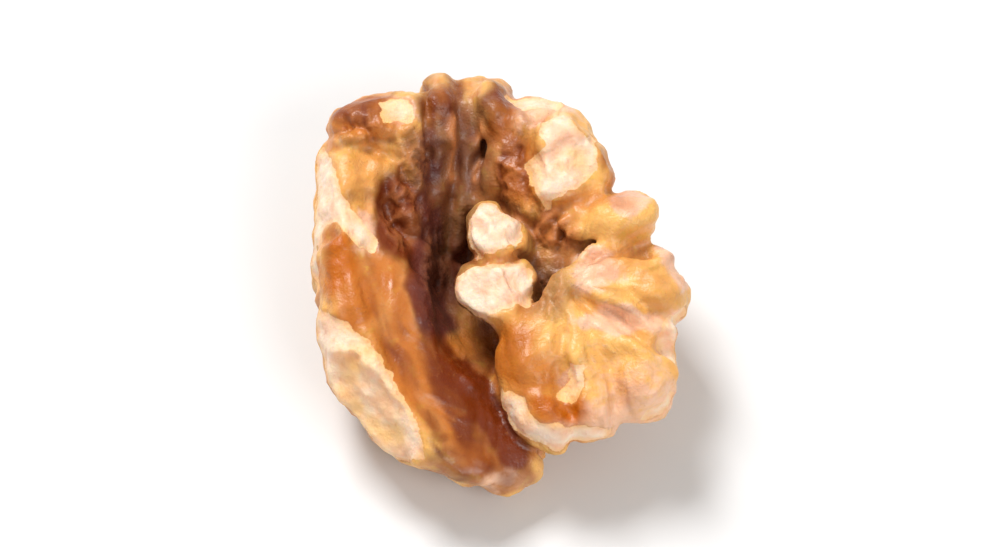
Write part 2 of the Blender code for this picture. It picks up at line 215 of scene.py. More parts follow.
# %% Where the flesh is bare
BREAKS = {
    "wall_low": ((-10.2, -6.3, -1.2), (-0.50, -0.36, 0.79), 7.2),
    "wall_high": ((-12.3, 6.6, -1.3), (-0.76, 0.08, 0.64), 4.4),
    "upper_lobe": ((5.0, 9.1, -0.7), (0.26, 0.10, 0.96), 4.0),
    "bridge_edge": ((2.4, 13.0, -2.2), (0.10, 0.70, 0.70), 2.6),
    "knob_scuff": ((-7.4, 12.5, -1.3), (0.20, 0.45, 0.85), 1.6),
    "nub_upper": ((-0.8, 4.0, -0.8), (-0.45, 0.20, 0.87), 2.2),
    "nub_upper_side": ((0.6, 4.4, -1.3), (0.65, 0.40, 0.65), 2.0),
    "nub_lower": ((-0.4, 0.0, -0.6), (-0.30, 0.15, 0.94), 2.6),
    "nub_lower_side": ((1.6, 0.6, -1.2), (0.60, 0.45, 0.65), 1.6),
    "fan_bottom": ((5.6, -10.9, -1.3), (-0.06, -0.78, 0.62), 3.6),
    "fan_right": ((10.6, -8.9, -1.3), (0.48, -0.62, 0.62), 3.0),
    "fan_edge": ((13.3, -3.2, -1.6), (0.85, -0.10, 0.52), 2.0),
    "back_low": ((8.8, -7.2, -8.6), (0.46, -0.50, -0.73), 3.4),
    "back_high": ((-8.6, 10.6, -9.0), (-0.46, 0.52, -0.71), 3.2),
}
BREAK_ROUGHNESS = 0.35
BREAK_TOLERANCE = 0.32
BARE_OUTLINES = {
    "wall_low": (6.0, (
        (-15.0, -1.8), (-12.0, -2.0), (-10.2, -3.0), (-8.6, -4.5), (-7.4, -6.3), (-6.5, -8.3),
        (-5.5, -10.2), (-5.1, -12.2), (-9.0, -13.5), (-15.0, -10.0))),
    "wall_high": (6.0, (
        (-15.5, 10.3), (-13.0, 10.0), (-12.1, 9.0), (-11.6, 7.6), (-11.8, 6.0), (-12.6, 4.4),
        (-13.1, 3.0), (-13.3, 1.2), (-13.4, -2.0), (-15.5, -2.0))),
    "upper_lobe": (3.0, (
        (2.0, 8.8), (3.0, 9.5), (3.6, 10.2), (3.2, 11.0), (3.4, 12.0), (4.4, 12.7), (5.6, 11.9),
        (5.9, 11.2), (7.0, 10.8), (7.5, 10.0), (6.9, 9.2), (7.0, 8.4), (6.4, 7.6), (5.5, 7.0),
        (4.6, 6.3), (3.6, 5.6), (3.0, 6.2), (2.8, 7.1), (2.2, 8.0))),
    "bridge_edge": (4.0, (
        (0.5, 14.0), (1.7, 15.0), (3.4, 15.0), (4.6, 13.9), (4.8, 13.0), (3.6, 13.2), (2.0, 13.0),
        (0.9, 13.4))),
    "nub_upper": (2.6, (
        (-1.6, 4.7), (-1.1, 6.0), (0.4, 6.0), (1.6, 4.9), (1.9, 3.5), (1.3, 2.7), (-0.1, 2.5),
        (-1.9, 1.9), (-2.6, 2.5), (-2.3, 3.8))),
    "nub_lower": (2.6, (
        (-2.6, 0.8), (-1.1, 1.4), (1.0, 1.5), (2.2, 0.9), (2.6, -0.5), (2.2, -1.6), (1.3, -1.3),
        (0.0, -1.6), (-0.8, -2.3), (-2.0, -3.0), (-3.2, -1.9), (-3.2, 0.0))),
    "fan_bottom": (2.8, (
        (-0.2, -7.6), (0.9, -7.4), (2.0, -7.9), (2.1, -9.1), (3.0, -10.0), (4.6, -10.1), (6.3, -9.9),
        (8.5, -10.2), (10.6, -9.2), (12.3, -7.6), (14.5, -8.3), (12.0, -14.0), (2.0, -14.0),
        (-0.6, -10.5))),
    "fan_right": (4.0, (
        (11.7, -3.1), (12.8, -2.2), (13.4, -1.6), (15.5, -1.6), (15.5, -5.4), (12.8, -5.4),
        (11.7, -4.6))),
    "fan_scuff": (3.0, ((5.2, -5.5), (6.2, -5.8), (5.9, -7.0), (5.6, -8.1), (4.6, -7.8), (4.9, -6.6))),
    "knob_scuff": (3.0, (
        (-8.6, 13.3), (-7.6, 13.8), (-6.4, 13.3), (-5.9, 12.2), (-6.4, 11.6), (-7.2, 12.1),
        (-8.3, 12.0))),
    "wall_strip": (2.4, (
        (-12.4, 6.8), (-11.0, 6.2), (-9.8, 4.9), (-8.8, 3.4), (-8.7, 2.3), (-9.6, 2.5), (-10.6, 3.6),
        (-11.8, 5.0))),
}
OUTLINE_SLACK = 0.35
REACH_MARGIN = 1.0
PLANE_BAND = 2.0
FACES_ITS_WAY = (0.45, 0.80)
LOOKS_OUT = (0.0, 0.3)
FLESH_EDGE = (0.15, 0.60)


def within(places, outline):
    """How far each place on the face lies inside a closed outline, in millimetres; negative outside."""
    inside, distance = np.zeros(len(places), bool), np.full(len(places), np.inf)
    for a, b in zip(np.array(outline), np.roll(outline, -1, axis=0)):
        share = np.clip(((places - a) @ (b - a)) / ((b - a) @ (b - a)), 0.0, 1.0)
        distance = np.minimum(distance, np.linalg.norm(places - a - share[:, None] * (b - a), axis=1))
        if a[1] != b[1]:
            crossing = a[0] + (places[:, 1] - a[1]) / (b[1] - a[1]) * (b[0] - a[0])
            inside ^= ((a[1] > places[:, 1]) != (b[1] > places[:, 1])) & (places[:, 0] < crossing)
    return np.where(inside, distance, -distance)


def bare_flesh(face, facing):
    """1 on the broken faces and 0 on the skin, with a ragged edge."""
    flesh = np.zeros(len(face))
    ragged = 1.1 * noise_value(face, 1.7, 3.0) + 0.7 * noise_value(face, 0.7, 4.0)
    for number, (name, ((x, y, lift), way, reach)) in enumerate(BREAKS.items()):
        origin = np.array((x, y, rim(y) + lift))
        out = np.array(way) / np.linalg.norm(way)
        height = (face - origin) @ out
        away = np.linalg.norm(face - origin - height[:, None] * out, axis=1)
        near = np.flatnonzero((away < reach + REACH_MARGIN) & (np.abs(height) < PLANE_BAND))
        rough = BREAK_ROUGHNESS * noise_value(face[near], 1.6, 41.0 + number)
        on_plane = np.exp(-(((height[near] - rough) / BREAK_TOLERANCE) ** 2))
        inside = smoothstep(0.0, 0.8, reach - away[near] + 0.5 * ragged[near])
        if name in BARE_OUTLINES:
            depth = within(face[near, :2], BARE_OUTLINES[name][1]) + 0.3 * ragged[near]
            inside *= smoothstep(-OUTLINE_SLACK, 0.0, depth)
        turned = smoothstep(*FACES_ITS_WAY, facing[near] @ out)
        flesh[near] = np.maximum(flesh[near], on_plane * inside * turned)
    seen = smoothstep(*LOOKS_OUT, facing[:, 2])
    under_rim = rim(face[:, 1]) - face[:, 2]
    for deepest, outline in BARE_OUTLINES.values():
        depth = within(face[:, :2], outline) + 0.38 * ragged
        reached = smoothstep(deepest + 0.3, deepest - 0.3, under_rim + 0.4 * ragged)
        flesh = np.maximum(flesh, seen * reached * smoothstep(-0.3, 0.3, depth))
    return flesh


normals = coords(mesh, "normal")
facing = normals @ tip
flesh = spread(smoothstep(*FLESH_EDGE, bare_flesh(face, facing)), 2)
print("bare flesh covers", round(100 * flesh.mean()), "% of the skin")

# %% [markdown]
# How deep a point lies decides its relief, its roughness and its colour. The colour takes painted shade
# from it: the skin is darker where little sky is seen, and browner in the hollows, which is partly its
# own darker tone in the folds and partly painted shade. Two measures are enough. A hollow is where the
# smoothed shape lies above the real one. Openness is the share of the sky that a point sees, found by
# sending rays out of it, and is low in the trough and between folds.

# %% Hollows and openness
FOLD_ROUNDS = 90
WRINKLE_ROUNDS = 16
SKY_RAYS = 48
SKY_START = 0.35
SKY_DISTANCE = 12.0
LOWEST_RAY = 0.05
SKY_ROUNDS = 6


def hollow(points, normals, rounds):
    """How far the smoothed shape lies above each point, in millimetres."""
    return np.einsum("ij,ij->i", spread(points, rounds) - points, normals)


def openness(points, normals):
    """The share of the sky that each point sees."""
    turn = math.pi * (3.0 - math.sqrt(5.0)) * np.arange(SKY_RAYS)
    height = 1.0 - 2.0 * (np.arange(SKY_RAYS) + 0.5) / SKY_RAYS
    ring = np.sqrt(1.0 - height**2)
    sky = np.stack([ring * np.cos(turn), ring * np.sin(turn), height], axis=1)
    rays = [Vector(direction) for direction in sky]
    cad = solid.data
    wall = BVHTree.FromPolygons((coords(cad) / MM).tolist(), [list(p.vertices) for p in cad.polygons])
    seen = np.empty(len(points))
    for index, (point, normal) in enumerate(zip(points, normals)):
        weights = sky @ normal
        start = Vector(point + SKY_START * normal)
        hits = [wall.ray_cast(start, rays[k], SKY_DISTANCE)[0] is not None
                for k in np.flatnonzero(weights > LOWEST_RAY)]
        weights = weights[weights > LOWEST_RAY]
        seen[index] = 1.0 - weights[np.array(hits)].sum() / weights.sum()
    return seen


fold_hollow = hollow(points, normals, FOLD_ROUNDS)
fine_hollow = hollow(points, normals, WRINKLE_ROUNDS)
print("hollows reach", fold_hollow.max().round(2), "mm over folds")
print("and", fine_hollow.max().round(2), "mm over wrinkles")
open_sky = spread(openness(points, normals), SKY_ROUNDS)
print("openness runs from", open_sky.min().round(2), "to", open_sky.max().round(2))

# %% [markdown]
# The skin carries a grain that follows each part. On the long wall it runs along the wall, on the fan
# it spreads from the hub, and on the bridge it runs lengthwise. Each is a noise that is stretched
# along the right direction, so the distance from the wall's crest and the angle about the fan's hub
# serve as coordinates.

# %% The grain of the skin
WALL_CREST = (
    (-10.9, 12.0), (-10.9, 6.0), (-10.4, 0.0), (-9.4, -4.6), (-7.2, -8.6), (-4.0, -11.4), (0.4, -13.4),
)
FAN_HUB = (5.2, 0.2)
FAN_TURN = 7.0


def from_line(places, line):
    """Distance from each place on the face to a line, and how far along the line that is."""
    nearest, along, passed = np.full(len(places), np.inf), np.zeros(len(places)), 0.0
    for a, b in zip(np.array(line[:-1], float), np.array(line[1:], float)):
        length = np.linalg.norm(b - a)
        share = np.clip(((places - a) @ (b - a)) / length**2, 0.0, 1.0)
        distance = np.linalg.norm(places - a - share[:, None] * (b - a), axis=1)
        closer = distance < nearest
        nearest = np.where(closer, distance, nearest)
        along = np.where(closer, passed + share * length, along)
        passed += length
    return nearest, along


def grain(face):
    """Fine lines of the skin, about -1 to 1, which follow each part."""
    wander = 0.5 * noise_value(face, 3.0, 61.0)
    across, along = from_line(face[:, :2], WALL_CREST)
    depth = face[:, 2] - rim(face[:, 1])
    wall = np.stack([across + 0.6 * depth + wander, 0.16 * along, 0.5 * depth], axis=1)
    arm = face[:, :2] - FAN_HUB
    angle = np.arctan2(arm[:, 1], arm[:, 0])
    fan = np.stack([FAN_TURN * np.cos(angle) + wander, FAN_TURN * np.sin(angle) + wander,
                    0.18 * np.linalg.norm(arm, axis=1)], axis=1)
    bridge = np.stack([face[:, 0] + wander, 0.2 * face[:, 1], 0.35 * face[:, 2]], axis=1)
    lines = {}
    for name, place in (("wall", wall), ("fan", fan), ("bridge", bridge)):
        lines[name] = 0.65 * noise_value(place, 0.85, 71.0) + 0.45 * noise_value(place, 0.42, 73.0)
    on_fan = smoothstep(1.0, 4.0, face[:, 0] - 0.35 * face[:, 1] - 1.5)
    on_fan *= smoothstep(6.5, 4.5, face[:, 1])
    on_wall = smoothstep(-1.0, -4.0, face[:, 0] + 0.18 * face[:, 1] + 1.0)
    rest = 1.0 - np.maximum(on_fan, on_wall)
    return on_fan * lines["fan"] + on_wall * lines["wall"] + rest * lines["bridge"]


grain_lines = grain(face)
print("grain runs from", grain_lines.min().round(2), "to", grain_lines.max().round(2))

# %% [markdown]
# Papery remains of the shell's partition cling to the skin as thin ribs, in the notch beside the fan
# and on the bridge. Beside the broken lobe and in the pits the skin itself is torn and stands in small
# frills. Both are too thin for the CAD solid. A rib is a line, and a patch of frills is an ellipse,
# given by its middle and its two half widths.

# %% Ribs and tatters
RIBS = (
    ((2.6, 3.2), (3.4, 4.4), (4.5, 5.9)),
    ((3.6, 2.6), (4.4, 3.8), (5.3, 5.5)),
    ((4.7, 2.4), (5.5, 3.5), (6.0, 4.7)),
    ((-3.2, 13.0), (-3.3, 10.0), (-3.6, 7.2)),
    ((-1.1, 12.4), (-1.4, 9.6), (-1.7, 7.0)),
)
RIB_HALF_WIDTH = 0.30
RIB_TAPER = 0.8
RIB_SHAKE = 0.35
TATTERS = (
    (1.2, 8.8, 1.3, 3.4), (2.6, 5.6, 1.2, 1.0), (-6.3, 9.4, 1.2, 2.6), (4.4, 3.6, 1.6, 1.4),
    (3.6, -0.4, 1.4, 2.0), (-7.0, 5.2, 1.4, 2.6), (-4.6, 1.6, 0.9, 2.4), (-9.6, 11.4, 2.6, 1.2),
)


def rib_height(face, facing):
    """1 along the ribs and 0 beside them."""
    shake = np.stack([noise_value(face, 1.5, 63.0), noise_value(face, 1.5, 65.0)], axis=1)
    place = face[:, :2] + RIB_SHAKE * shake
    height = np.zeros(len(face))
    for line in RIBS:
        away, along = from_line(place, line)
        ends = smoothstep(0.0, RIB_TAPER, along) * smoothstep(0.0, RIB_TAPER, along.max() - along)
        height = np.maximum(height, ends * np.exp(-((away / RIB_HALF_WIDTH) ** 2)))
    return height * smoothstep(*LOOKS_OUT, facing[:, 2])


def tatter_height(face, facing):
    """Small frills of torn skin, 0 to 1, inside the ellipses of TATTERS."""
    where = np.zeros(len(face))
    for x, y, wide, long in TATTERS:
        away = np.hypot((face[:, 0] - x) / wide, (face[:, 1] - y) / long)
        where = np.maximum(where, smoothstep(1.3, 0.7, away))
    stretched = face * (1.0, 0.55, 0.7)
    frills = ridges(stretched, 0.85, 67.0) + 0.6 * ridges(face, 0.6, 69.0)
    return np.clip(frills, 0.0, 1.0) * where * smoothstep(*LOOKS_OUT, facing[:, 2])


ribs = rib_height(face, facing)
tatters = tatter_height(face, facing)
print("ribs cover", round(100 * (ribs > 0.5).mean(), 1), "% of the skin")
print("and tatters", round(100 * (tatters > 0.3).mean(), 1), "%")

# %% [markdown]
# Now the relief is worked into the skin, along its normals. The folds are made crisper by pushing the
# shape away from its smoothed copy. Skin gets wrinkles, lumps and grain, and the ribs and frills rise
# from it. Bare flesh lies a skin's thickness lower and breaks in small rough steps. The rounded back
# filled the shell's own wrinkles, so its folds are crisper still. The long slope between the wall
# and the trough was pressed against the shell's partition, so it is sleek: there the shape is drawn
# to its smoothed copy instead, and little but the grain is left.

# %% Relief
FOLD_CRISPNESS = 0.30
BACK_CRISPNESS = 0.35
WRINKLE_CRISPNESS = 1.0
SKIN_THICKNESS = 0.20
RIB_HEIGHT = 0.34
TATTER_HEIGHT = 0.24
GRAIN_HEIGHT = 0.10
SLEEK_LINE = ((-8.6, 2.0), (-7.0, -2.4), (-5.0, -6.0), (-2.8, -9.6), (-0.4, -12.6), (1.0, -13.6))
SLEEK_WIDTH = 2.6
SLEEK_PULL = 0.8
SLEEK_CALM = 0.8
SLEEK_GRAIN = 0.06
LOOKS_BACK = (0.1, -0.4)

skin = 1.0 - flesh
back = smoothstep(*LOOKS_BACK, facing[:, 2])
sleek = skin * smoothstep(SLEEK_WIDTH, 0.5 * SLEEK_WIDTH, from_line(face[:, :2], SLEEK_LINE)[0])
sleek = spread(sleek * smoothstep(-0.1, 0.3, facing[:, 2]), 4)
wrinkles = 0.09 * ridges(points, 2.6, 81.0) + 0.05 * ridges(points, 1.2, 83.0) - 0.04
lumps = 0.06 * noise_value(points, 1.6, 85.0) + 0.04 * noise_value(points, 0.8, 87.0)
chips = 0.18 * noise_value(points, 1.9, 91.0) + 0.14 * np.abs(noise_value(points, 1.0, 93.0))
chips += 0.07 * noise_value(points, 0.5, 95.0)
lift = -WRINKLE_CRISPNESS * fine_hollow - (FOLD_CRISPNESS + BACK_CRISPNESS * back) * fold_hollow
lift += sleek * (WRINKLE_CRISPNESS * fine_hollow + (FOLD_CRISPNESS + SLEEK_PULL) * fold_hollow)
lift += skin * ((1.0 - SLEEK_CALM * sleek) * (wrinkles + lumps)
                + (GRAIN_HEIGHT + SLEEK_GRAIN * sleek) * grain_lines)
lift += skin * (RIB_HEIGHT * ribs + TATTER_HEIGHT * tatters) + flesh * (chips - SKIN_THICKNESS)
set_coords(mesh, points + normals * lift[:, None])
print("relief runs from", lift.min().round(2), "to", lift.max().round(2), "mm")

# %% [markdown]
# The visible piece must stay in the CAD solid's box, and it rests on the same worn spots. So it is
# fitted to the box, and what would sink into the surface below is pressed flat.

# %% Fitting it to its box


def fit_to_box(mesh):
    """Fits the skin to the CAD box, flat below, and turns it to metres; gives the scale."""
    points = coords(mesh)
    low, high = points.min(axis=0), points.max(axis=0)
    scale = np.minimum((cad_high - cad_low) / (high - low), 1.0)
    points = (points - (low + high) / 2) * scale + (cad_low + cad_high) / 2
    points[:, 2] = np.clip(points[:, 2], 0.0, None)
    set_coords(mesh, points * MM)
    return scale


print("scaled by", fit_to_box(mesh).round(4))
for polygon in mesh.polygons:
    polygon.use_smooth = True

# %% [markdown]
# The photograph's colours differ from fold to fold. Soft patches of five tones say where the skin is
# gold, orange, brown, purple or pale: each has a middle, two half widths and a strength. A few pale
# patches, on the fan's knob and at the tail, and the pale streak on the fan's right rim are painted
# highlights rather than pale skin. Long forms, such as the dark foot of the wall, are streaks: a half
# width, a strength and a line. The purple streak beside the wall is partly the trough's purple skin and
# partly painted shadow cast by the wall, and the brown streak under the fan's left edge is partly brown
# skin and partly painted shadow of the fan's overhang. Patches and streaks reach only what looks out of
# the face and isn't deep under the rim, and a noise breaks their edges up.

# %% Tones of the skin
TONES = {
    "gold": (
        (8.8, 4.8, 3.4, 2.2, 1.0), (10.4, -0.6, 3.6, 2.8, 0.9), (9.6, -6.2, 4.0, 4.0, 0.9),
        (5.6, -4.4, 3.6, 4.2, 0.9), (-10.0, 7.6, 1.8, 2.8, 1.0), (4.4, 12.2, 2.6, 1.8, 0.8),
        (7.8, 7.8, 1.8, 2.0, 1.0), (-9.0, -2.4, 1.6, 2.0, 0.3), (0.2, -3.0, 1.6, 1.2, 0.6),
        (-2.0, -3.8, 1.7, 1.5, 0.55), (-7.6, 9.8, 1.0, 1.6, 0.9), (-3.4, 4.0, 0.7, 1.2, 0.4),
    ),
    "orange": (
        (-11.4, 1.2, 1.5, 2.4, 1.0), (-10.0, -1.4, 1.8, 2.0, 0.9), (11.6, -0.6, 1.8, 1.6, 0.3),
        (1.0, -5.0, 2.0, 2.4, 0.9), (2.6, -6.4, 2.2, 2.0, 0.8), (4.4, -8.9, 2.4, 1.0, 1.0),
        (1.4, 8.6, 1.4, 3.2, 0.9), (7.4, 6.4, 2.2, 0.8, 0.6), (-8.8, 8.6, 1.1, 2.0, 0.45),
        (0.6, 12.2, 1.0, 1.6, 0.8), (-4.0, 13.4, 1.2, 1.4, 0.75), (9.6, -7.0, 1.4, 1.2, 0.25),
        (2.0, -2.6, 1.4, 1.0, 0.5), (-8.6, -7.4, 3.4, 4.4, 0.7), (9.0, 1.6, 2.4, 0.8, 0.3),
        (4.6, 4.6, 1.6, 1.4, 0.5), (-9.8, 12.4, 3.0, 1.8, 0.85), (-9.8, 7.4, 2.0, 2.6, 0.40),
        (8.4, 8.8, 0.9, 2.0, 0.6), (2.6, 8.4, 0.8, 3.0, 0.7), (-1.9, -4.1, 1.9, 1.8, 0.75),
    ),
    "brown": (
        (-7.2, 5.2, 2.0, 3.2, 1.0), (-6.2, 10.0, 1.3, 1.8, 0.55), (-4.2, 13.4, 1.8, 2.4, 0.65),
        (1.0, 9.0, 1.4, 3.4, 0.62), (0.4, 13.2, 1.8, 1.8, 0.58), (4.2, 4.2, 2.0, 1.8, 0.50),
        (-9.2, 10.5, 2.6, 0.6, 0.50), (-10.2, 12.8, 3.0, 1.2, 0.60), (-1.6, -12.4, 3.4, 1.8, 0.58),
        (1.4, -13.6, 1.8, 1.4, 0.52), (8.6, 8.6, 0.8, 1.9, 0.40), (-3.0, 1.4, 1.2, 3.0, 0.6),
    ),
    "purple": (
        (-2.6, 9.4, 2.2, 4.0, 0.9), (-2.6, 5.4, 1.8, 3.0, 0.7), (3.8, -0.2, 1.7, 2.2, 0.6),
        (-3.2, 0.6, 1.4, 3.0, 0.6),
    ),
    "pale": (
        (-7.2, 12.8, 1.5, 0.9, 0.9), (-9.7, 3.5, 1.1, 1.5, 0.9), (1.9, 13.7, 2.2, 0.8, 0.8),
        (3.4, 12.6, 2.2, 1.2, 0.8), (7.2, 1.0, 1.9, 1.8, 0.8), (9.0, -2.6, 3.6, 1.0, 1.0),
        (10.6, -8.2, 2.6, 1.8, 0.7), (7.4, -9.6, 4.2, 1.4, 0.8), (1.4, -9.0, 1.0, 1.4, 0.6),
        (9.6, -7.0, 4.0, 2.4, 0.42), (6.4, -3.0, 2.6, 2.0, 0.12),
        (12.8, -3.3, 1.2, 1.4, 0.9), (5.4, -6.8, 0.7, 1.1, 1.0), (-0.9, -2.6, 1.0, 1.0, 0.6),
        # Painted highlights: the glint on the fan's knob at (9.5, 6.1), and on the tail at (0.2, -14.0)
        # and (-1.0, -13.0).
        (9.5, 6.1, 1.4, 0.8, 1.0), (7.0, -3.2, 1.0, 1.6, 0.3), (8.6, -7.6, 1.4, 1.4, 0.4),
        (0.2, -14.0, 1.3, 0.8, 0.65), (-1.0, -13.0, 1.0, 0.7, 0.4),
    ),
}
STREAKS = {
    "orange": (
        (0.9, 0.6, ((-8.2, 1.6), (-6.8, -2.4), (-4.8, -6.4), (-2.8, -10.0), (-1.0, -13.0))),
    ),
    "brown": (
        (0.8, 0.9, ((-5.9, 3.4), (-5.6, 0.0), (-4.8, -2.8), (-3.8, -5.0))),
        (1.1, 0.7, ((-4.6, -4.2), (-3.6, -6.8), (-2.4, -9.6), (-1.0, -12.6))),
        # Partly brown skin, partly painted shadow under the fan's overhanging left edge.
        (1.2, 1.0, ((-2.8, -6.4), (-1.7, -7.6), (-0.2, -9.8), (1.2, -12.2))),
        (0.4, 0.4, ((-9.4, 0.4), (-8.2, -3.4), (-6.4, -7.0), (-4.4, -10.4))),
    ),
    "purple": (
        # Partly the trough's purple skin, partly painted shadow that the left wall casts into the
        # trough.
        (1.1, 1.0, ((-4.9, 10.5), (-4.9, 4.0), (-4.8, 0.4), (-4.2, -2.8))),
    ),
    "pale": (
        # A painted highlight along the lit right rim of the fan.
        (0.5, 0.9, ((11.8, 2.9), (12.7, 1.6), (13.5, 0.2))),
    ),
}
PATCH_SHAKE = 0.9
STREAK_SHAKE = 0.5
TONE_LOOKS_OUT = (-0.35, 0.15)
TONE_DEPTH = (-11.0, -8.0)
TONE_ROUNDS = 3
CORE_ROUNDS = 30
TATTER_TINT = 0.4


def tone(face, facing, name):
    """How strongly a tone shows, 0 to 1."""
    shake = np.stack([noise_value(face, 1.8, 101.0), noise_value(face, 1.8, 103.0)], axis=1)
    place = face[:, :2] + PATCH_SHAKE * shake
    strength = np.zeros(len(face))
    for x, y, wide, long, share in TONES[name]:
        away = np.hypot((place[:, 0] - x) / wide, (place[:, 1] - y) / long)
        strength = np.maximum(strength, share * smoothstep(1.45, 0.55, away))
    place = face[:, :2] + STREAK_SHAKE * shake
    for half_width, share, line in STREAKS.get(name, ()):
        away = from_line(place, line)[0] / half_width
        strength = np.maximum(strength, share * smoothstep(1.5, 0.6, away))
    seen = smoothstep(*TONE_LOOKS_OUT, facing[:, 2])
    return strength * (seen * smoothstep(*TONE_DEPTH, face[:, 2] - rim(face[:, 1])))


def store(name, values):
    """Keeps one number a point on the mesh, for the material to read."""
    mesh.attributes.new(name, "FLOAT", "POINT").data.foreach_set("value", values.astype(np.float32))


store("flesh", flesh)
store("core", spread(flesh, CORE_ROUNDS))
store("hollow", fold_hollow)
store("sleek", sleek)
store("back", back)
store("ribs", np.maximum(ribs, TATTER_TINT * tatters))
store("open_sky", open_sky)
store("grain", grain_lines)
for name in TONES:
    store(name, spread(tone(face, facing, name), TONE_ROUNDS))
print("stored", [a.name for a in mesh.attributes if a.data_type == "FLOAT"])

# %% [markdown]
# Shader maths reads best as a sum. Value wraps a node's output, so that 1 - mask or 0.3 * veins adds
# the Math node by itself. Paint holds a material's nodes, and its one method adds any other node from
# its type, its settings and what goes into its sockets.

# %% Nodes as Python


class Value:
    """An output of a node, usable in Python sums."""

    def __init__(self, paint, socket):
        self.paint, self.socket = paint, socket

    def math(self, operation, *numbers):
        return self.paint.add("ShaderNodeMath", {"operation": operation}, dict(enumerate(numbers)))

    def __add__(self, other):
        return self.math("ADD", self, other)

    def __sub__(self, other):
        return self.math("SUBTRACT", self, other)

    def __rsub__(self, other):
        return self.math("SUBTRACT", other, self)

    def __mul__(self, other):
        return self.math("MULTIPLY", self, other)

    def __abs__(self):
        return self.math("ABSOLUTE", self)

    __radd__, __rmul__ = __add__, __mul__


class Paint:
    """One material and the nodes in it."""

    def __init__(self, name):
        self.material = bpy.data.materials.new(name)
        self.material.use_nodes = True
        self.tree = self.material.node_tree
        self.tree.nodes.clear()

    def add(self, kind, settings=None, sockets=None, out=0):
        """A node of that kind: its settings are set first, then its sockets get values or links."""
        node = self.tree.nodes.new(kind)
        for name, setting in (settings or {}).items():
            setattr(node, name, setting)
        for name, value in (sockets or {}).items():
            if isinstance(value, Value):
                self.tree.links.new(value.socket, node.inputs[name])
            else:
                node.inputs[name].default_value = value
        return Value(self, node.outputs[out]) if node.outputs else None

    def mark(self, name):
        """A number that is kept on the mesh."""
        return self.add("ShaderNodeAttribute", {"attribute_name": name}, out="Fac")

    def ramp(self, value, low, high, start=0.0, end=1.0):
        """The value carried from low..high to start..end along a soft S."""
        return self.add("ShaderNodeMapRange", {"interpolation_type": "SMOOTHSTEP"}, {
            "Value": value, "From Min": low, "From Max": high, "To Min": start, "To Max": end})

    def blend(self, one, other, share):
        """A mix of two colours."""
        return self.add("ShaderNodeMix", {"data_type": "RGBA"}, {0: share, 6: one, 7: other}, out=2)

    def noise(self, place, wavelength, detail=2.0, distortion=0.0):
        """Smooth noise, 0 to 1; the wavelength is in millimetres."""
        return self.add("ShaderNodeTexNoise", None, {
            "Vector": place, "Scale": 1.0 / wavelength, "Detail": detail, "Distortion": distortion})

    def crest(self, cloud):
        """Thin lines, 1 where the noise crosses its middle."""
        return 1 - 6.0 * abs(cloud - 0.5)


def colour(red, green, blue):
    """A colour as light measures it, from its shares on a screen, 0 to 255."""
    return tuple((share / 255.0) ** 2.2 for share in (red, green, blue)) + (1.0,)


print("ivory flesh reflects", [round(share, 2) for share in colour(250, 232, 198)[:3]])

# %% [markdown]
# The finish is two materials in one. The skin is thin, oily and half glossy, golden on the tops of the
# folds and dark in the hollows, which is partly its own tone and partly painted shade, and darker still
# where little sky is seen, which is painted shade. It is mottled with olive and pale pink, with a few
# painted highlights among its pale patches, and fine darker veins and flecks.
# The flesh under it is ivory, waxy and full of oil, so light goes a little way into it, and its
# broken face is grainy. A mask mixes the two shaders, and in places a tawny edge of skin is left
# beside the flesh.

# %% The kernel's finish
GOLD = colour(244, 184, 102)
TAN = colour(204, 132, 70)
ORANGE = colour(192, 100, 4)
BROWN = colour(114, 46, 8)
PURPLE = colour(98, 50, 44)
PAINTED_SHADE = colour(66, 26, 10)
PALE = colour(246, 194, 158)
IVORY = colour(250, 220, 195)
CREAM = colour(246, 202, 150)
BLUSH = colour(242, 188, 152)
SKIN_EDGE = colour(196, 122, 56)
OLIVE = colour(214, 168, 74)
RIB = colour(218, 140, 84)
OIL_IOR = 1.46
CRUMB_SIZE = 0.34
FACET_SIZE = 1.1


